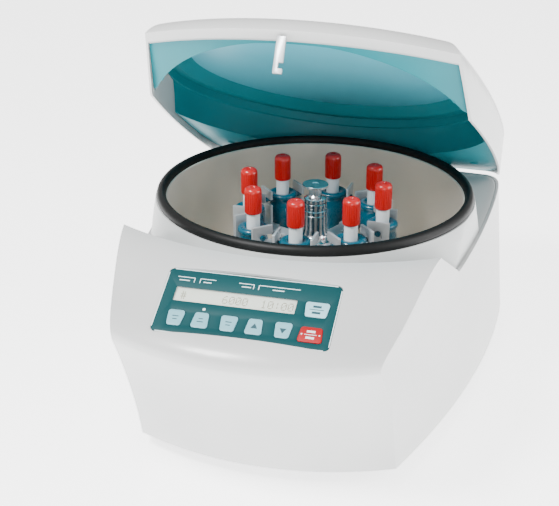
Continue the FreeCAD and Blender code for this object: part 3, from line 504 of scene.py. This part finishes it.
class CENTRIFUGE_OT_hub(bpy.types.Operator):
    """Turned rotor hub with its screws, the nut, the shaft and the arms"""
    bl_idname = "centrifuge.hub"
    bl_label = "Rotor hub"

    def execute(self, context):
        steps = context.scene.centrifuge.turn_steps
        low, high = low_and_high("rotor_hub")
        foot, top = low.z + 26, high.z
        hub = spun("hub_turned", [
            (6.1, low.z), (15, low.z), (15, foot + 5), (19, foot + 5), (19, foot + 8.6), (18.4, foot + 9.2),
            (14.4, foot + 12.6), (12.6, foot + 16), (11.8, foot + 20), (11.8, top - 13), (11.2, top - 12.4),
            (11.2, top - 11.6), (11.8, top - 11), (11.8, top - 8), (11, top - 7.4), (11, top - 5),
            (11.8, top - 4.4), (11.8, top - 0.5), (11.3, top), (4.1, top), (4.1, top - 11),
            (6.1, top - 14)], steps)
        smooth(hub, 28)
        dress(hub, "hub", "rotor", slot_of("rotor_hub"), "rotor_hub")

        screws = []
        for index in range(6):
            angle = math.radians(60 * index + 15)
            spot = Vector((16.6 * math.cos(angle), 16.6 * math.sin(angle), foot + 10.2)) * MM
            head = disc(spot, 1.9, 2.6, corners=24)
            bpy.ops.object.mode_set(mode="EDIT")
            bpy.ops.mesh.select_mode(type="FACE")
            bpy.ops.mesh.select_all(action="DESELECT")
            bpy.ops.object.mode_set(mode="OBJECT")
            lid_face = max(head.data.polygons, key=lambda face: face.normal.z)
            lid_face.select = True
            bpy.ops.object.mode_set(mode="EDIT")
            bpy.ops.mesh.inset(thickness=0.8 * MM)
            bpy.ops.mesh.extrude_region_move(TRANSFORM_OT_translate={"value": (0, 0, -1.2 * MM)})
            bpy.ops.object.mode_set(mode="OBJECT")
            screws.append(head)
        heads = joined("hub_screw_heads", screws)
        smooth(heads, 35)
        dress(heads, "sheet", "rotor", slot_of("rotor_hub"))

        low, high = low_and_high("rotor_nut")
        foot, top = low.z, high.z
        nut = spun("nut_turned", [
            (4.1, foot), (10.9, foot), (11.3, foot + 0.5), (11.3, foot + 4.2), (10.8, foot + 4.7),
            (7.4, foot + 6.2),
            (6.2, foot + 7.8), (6.2, top - 5), (6.8, top - 4), (12.4, top - 3), (13, top - 2.5),
            (13, top - 0.5),
            (12.5, top), (4.2, top), (3.4, top - 0.7), (0, top - 0.7), (0, foot + 4.7),
            (4.1, foot + 4.7)], steps)
        smooth(nut, 28)
        dress(nut, "hub", "nut", slot_of("rotor_nut"), "rotor_nut")
        finish_node("motor_shaft", "hub", 0.2)
        finish_node("rotor_arms", "sheet", 0.5, 30)
        return {"FINISHED"}


class CENTRIFUGE_OT_buckets(bpy.types.Operator):
    """Buckets, sample tubes and ribbed caps in the eight places"""
    bl_idname = "centrifuge.buckets"
    bl_label = "Buckets"

    def execute(self, context):
        foot, top = low_and_high("bucket_1")[0].z, low_and_high("bucket_1")[1].z
        tube_foot, tube_top = low_and_high("sample_tube_1")[0].z, low_and_high("sample_tube_1")[1].z
        cap_foot, cap_top = low_and_high("tube_cap_1")[0].z, low_and_high("tube_cap_1")[1].z
        shell = spun("bucket_shell", [
            (0, foot), (6, foot), (8.6, foot + 1.6), (10, foot + 5), (11, foot + 28), (13.2, top - 28),
            (14.2, top - 22), (14.5, top - 17), (14.2, top - 13), (13.3, top - 10), (13.2, top - 8.4),
            (14.2, top - 6), (15.3, top - 4.2), (15.5, top - 2.6), (15, top - 1.2), (13.6, top - 0.2),
            (12.4, top), (9, top - 0.6), (7.4, top - 2), (6.9, top - 3.4), (6.9, tube_foot + 3.2),
            (4, tube_foot - 0.5), (0, tube_foot - 0.5)], 48)
        smooth(shell, 60)
        pins = []
        for side in (-1, 1):
            pins.append(disc(Vector((0, side * 17.6, 169)) * MM, 2.5, 7.6, (math.pi / 2, 0, 0)))
        bucket = joined("bucket_model", [shell] + pins)
        tube = spun("tube_model", [
            (0, tube_foot), (2.4, tube_foot + 0.4), (4.6, tube_foot + 2), (6.1, tube_foot + 4.4),
            (6.6, tube_foot + 7), (6.6, tube_top), (5.6, tube_top), (5.6, tube_foot + 7.2),
            (3.4, tube_foot + 2.8), (0, tube_foot + 1.2)], 48)
        smooth(tube, 40)
        cap = self.cap(cap_foot, cap_top, tube_top)
        for index in range(PLACES):
            move = place_matrix(index)
            body = f"hanger_{index + 1}"
            for model, finish, node in ((bucket, "bucket", f"bucket_{index + 1}"),
                                        (tube, "tube", f"sample_tube_{index + 1}"),
                                        (cap, "cap", f"tube_cap_{index + 1}")):
                dress(copied(model, node + "_piece", move), finish, body, slot_of(node), node)
        for model in (bucket, tube, cap):
            remove(model)
        return {"FINISHED"}

    def cap(self, foot, top, tube_top):
        """A screw cap: ribbed skirt, rounded crown with a moulded dimple."""
        cap = spun("cap_model", [
            (6.65, foot), (7.9, foot), (8.3, foot + 0.6), (8.4, foot + 2), (8.4, top - 4.6), (8.1, top - 2.6),
            (7.3, top - 1.2), (6.0, top - 0.4), (3.4, top), (2.6, top - 0.2), (2.1, top - 0.9),
            (0, top - 1.0),
            (0, tube_top + 0.1), (6.65, tube_top + 0.1)], 72)
        only(cap)
        bpy.ops.object.mode_set(mode="EDIT")
        bpy.ops.mesh.select_mode(type="FACE")
        bpy.ops.mesh.select_all(action="DESELECT")
        bpy.ops.object.mode_set(mode="OBJECT")
        for face in cap.data.polygons:
            centre = face.center / MM
            turn = math.degrees(math.atan2(centre.y, centre.x)) % 360
            on_skirt = math.hypot(centre.x, centre.y) > 8.3 and foot + 2 < centre.z < top - 4.6
            face.select = on_skirt and int(turn // 5) % 3 == 0
        bpy.ops.object.mode_set(mode="EDIT")
        bpy.ops.mesh.inset(thickness=0.12 * MM, use_individual=True, depth=-0.3 * MM)
        bpy.ops.object.mode_set(mode="OBJECT")
        smooth(cap, 38)
        return cap


class CENTRIFUGE_OT_panel(bpy.types.Operator):
    """Control foil, keys with generic symbols, and the display with its figures"""
    bl_idname = "centrifuge.panel"
    bl_label = "Panel"

    KEY_X = (-60.0, -38.2, -14.5, 7.5, 31.4)
    KEY_V = 15.2
    DOTS = {
        "0": ("01110", "10001", "10011", "10101", "11001", "10001", "01110"),
        "1": ("00100", "01100", "00100", "00100", "00100", "00100", "01110"),
        "6": ("00110", "01000", "10000", "11110", "10001", "10001", "01110"),
        ":": ("00000", "00100", "00100", "00000", "00100", "00100", "00000"),
        "#": ("01010", "01010", "11111", "01010", "11111", "01010", "01010"),
    }

    def execute(self, context):
        finish_node("panel_foil", "foil", 0.15, 40)
        finish_node("lcd_module", "lcd", 0.1, 40)
        finish_node("display_window", "window", 0.1, 40)
        for key in ("key_1", "key_2", "key_3", "key_4", "key_5"):
            finish_node(key, "key", 0.35, 40)
        finish_node("key_start", "start", 0.35, 40)
        finish_node("key_stop", "stop", 0.35, 40)
        self.border()
        self.brackets()
        self.figures()
        self.symbols()
        return {"FINISHED"}

    def border(self):
        """A pale printed line round the foil."""
        line, inset, corner, lift = 0.7, 0.5, 9, 0.05
        middle, half_up = PANEL_FOOT.x, PANEL_TALL / 2
        bars = []
        for side in (-1, 1):
            across = middle + side * (PANEL_WIDE / 2 - inset)
            bars.append(on_panel(across, half_up, line, PANEL_TALL - corner, lift))
            up = half_up + side * (half_up - inset)
            bars.append(on_panel(middle, up, PANEL_WIDE - corner, line, lift))
        self.printed("foil_border", bars, "white_ink")

    def brackets(self):
        """Fine printed brackets over the display's fields, and the ready lamp's dot."""
        marks = []
        for left, right, down in ((-69, -54, 1), (-49, -35.5, -1), (-15.6, -2.4, 1), (2, 37, -1)):
            marks.append(on_panel((left + right) / 2, 56.6, right - left, 0.6, 0.05))
            end = right if down > 0 else left
            marks.append(on_panel(end, 54.4, 0.6, 4.6, 0.05))
        for x, wide in ((-62.5, 9), (-42.5, 7), (-8.6, 8), (19, 10)):
            marks.append(on_panel(x, 53.4, wide, 0.8, 0.05))
        lamp = disc(panel_point(-38.1, 26.4, 0.05), 1.3, 0.1, (PANEL_TILT, 0, 0), 24)
        self.printed("field_brackets", marks + [lamp], "white_ink")

    def figures(self):
        """Dot-matrix figures on the display's backing."""
        pitch_x, pitch_v, dot = 0.95, 1.15, 0.78
        dots = []
        for text, start in (("#", -62), ("6000", -25.6), ("10:00", 7.6)):
            for place, sign in enumerate(text):
                for row, line in enumerate(self.DOTS[sign]):
                    for column, lit in enumerate(line):
                        if lit == "1":
                            x = start + place * 5.7 + column * pitch_x
                            dots.append(on_panel(x, 43 - row * pitch_v, dot, dot * 1.15, -1.9, 0.1))
        self.printed("display_figures", dots, "lcd_dot")

    def symbols(self):
        """Generic marks on the keys: arrows, bars and dots in place of words."""
        for index, x in enumerate(self.KEY_X[:3]):
            bars = [on_panel(x, self.KEY_V + 1.5 - 3 * line, 5.4 - 1.6 * ((line + index) % 2), 0.8)
                    for line in range(2)]
            self.printed(f"key_{index + 1}_mark", bars, "dark_ink", f"key_{index + 1}_cap")
        for name, x, turn in (("key_4", self.KEY_X[3], 0), ("key_5", self.KEY_X[4], math.pi)):
            arrow = disc(panel_point(x, self.KEY_V, 0.55), 3.3, 0.1, (PANEL_TILT, 0, 0), 3)
            only(arrow)
            facing = Matrix.Rotation(PANEL_TILT, 3, "X") @ Matrix.Rotation(turn, 3, "Z")
            arrow.rotation_euler = facing.to_euler()
            self.printed(name + "_mark", [arrow], "dark_ink", name + "_cap")
        x = 54.6
        start = [on_panel(x, 38.6, 12, 0.6), on_panel(x, 41.6, 7, 2.0), on_panel(x, 35.6, 7, 2.0)]
        self.printed("key_start_mark", start, "dark_ink", "key_start_cap")
        stop = [on_panel(x, 14, 10, 0.5), on_panel(x, 17, 7, 2.0), on_panel(x, 11, 7, 2.0)]
        for side in (-1, 1):
            stop.append(disc(panel_point(x + side * 7.4, 14, 0.55), 0.7, 0.1, (PANEL_TILT, 0, 0), 20))
        self.printed("key_stop_mark", stop, "white_ink", "key_stop_cap")

    def printed(self, name, marks, finish, body="base"):
        whole = joined(name, marks)
        slots = {"base": slot_of("panel_foil"), "key_stop_cap": slot_of("key_stop")}
        return dress(whole, finish, body, slots.get(body, slot_of("key_1")))


class CENTRIFUGE_OT_lid(bpy.types.Operator):
    """Lid shell, liner with its disc and screw bosses, striker and hinges"""
    bl_idname = "centrifuge.lid"
    bl_label = "Lid"

    def execute(self, context):
        finish_node("lid_shell", "shell", context.scene.centrifuge.shell_ease, 30, 3)
        liner = finish_node("lid_liner", "liner", 0.9, 30, 3)
        finish_node("lid_disc", "disc", 0.4, 30)
        finish_node("lid_striker", "sheet", 0.2)
        finish_node("hinge_pins", "hub", 0.4)
        finish_node("hinge_brackets", "hinge", 0.6)
        bosses = []
        for x, y, z in ((-128, -84, 176.6), (128, -84, 176.6), (-140, 172, 169.6), (140, 172, 169.6)):
            # each boss is seated on the liner's own surface and faces away from it
            found, spot, normal, face = liner.closest_point_on_mesh(open_lid_point(x, y, z) * MM)
            if not found:
                raise RuntimeError("no liner surface under a screw boss")
            turn = normal.to_track_quat("Z", "Y").to_euler()
            bosses.append(disc(spot, 4.4, 1.6, turn))
        caps = joined("liner_screw_bosses", bosses)
        ease_edges(caps, 0.4)
        smooth(caps, 40)
        dress(caps, "liner", "lid", slot_of("lid_liner"))
        return {"FINISHED"}


class CENTRIFUGE_OT_mains(bpy.types.Operator):
    """Mains inlet and rocker switch at the rear"""
    bl_idname = "centrifuge.mains"
    bl_label = "Mains inlet"

    def execute(self, context):
        finish_node("mains_inlet", "black", 0.4)
        finish_node("power_rocker", "black", 0.4)
        return {"FINISHED"}


STEPS = (CENTRIFUGE_OT_stage, CENTRIFUGE_OT_housing, CENTRIFUGE_OT_bowl, CENTRIFUGE_OT_drive,
         CENTRIFUGE_OT_hub, CENTRIFUGE_OT_buckets, CENTRIFUGE_OT_panel, CENTRIFUGE_OT_lid,
         CENTRIFUGE_OT_mains)


class CENTRIFUGE_PT_panel(bpy.types.Panel):
    """Lists the settings and the building steps"""
    bl_label = "Centrifuge"
    bl_space_type = "VIEW_3D"
    bl_region_type = "UI"
    bl_category = "Centrifuge"

    def draw(self, context):
        for name in ("shell_ease", "turn_steps", "floor_size", "lens"):
            self.layout.prop(context.scene.centrifuge, name)
        for step in STEPS:
            self.layout.operator(step.bl_idname)


CLASSES = (CentrifugeSettings,) + STEPS + (CENTRIFUGE_PT_panel,)


def register():
    for item in CLASSES:
        bpy.utils.register_class(item)
    bpy.types.Scene.centrifuge = bpy.props.PointerProperty(type=CentrifugeSettings)


def unregister():
    del bpy.types.Scene.centrifuge
    for item in reversed(CLASSES):
        bpy.utils.unregister_class(item)


def main():
    register()
    make_finishes()
    for step in STEPS:
        family, action = step.bl_idname.split(".")
        getattr(getattr(bpy.ops, family), action)()


if __name__ == "__main__":
    main()
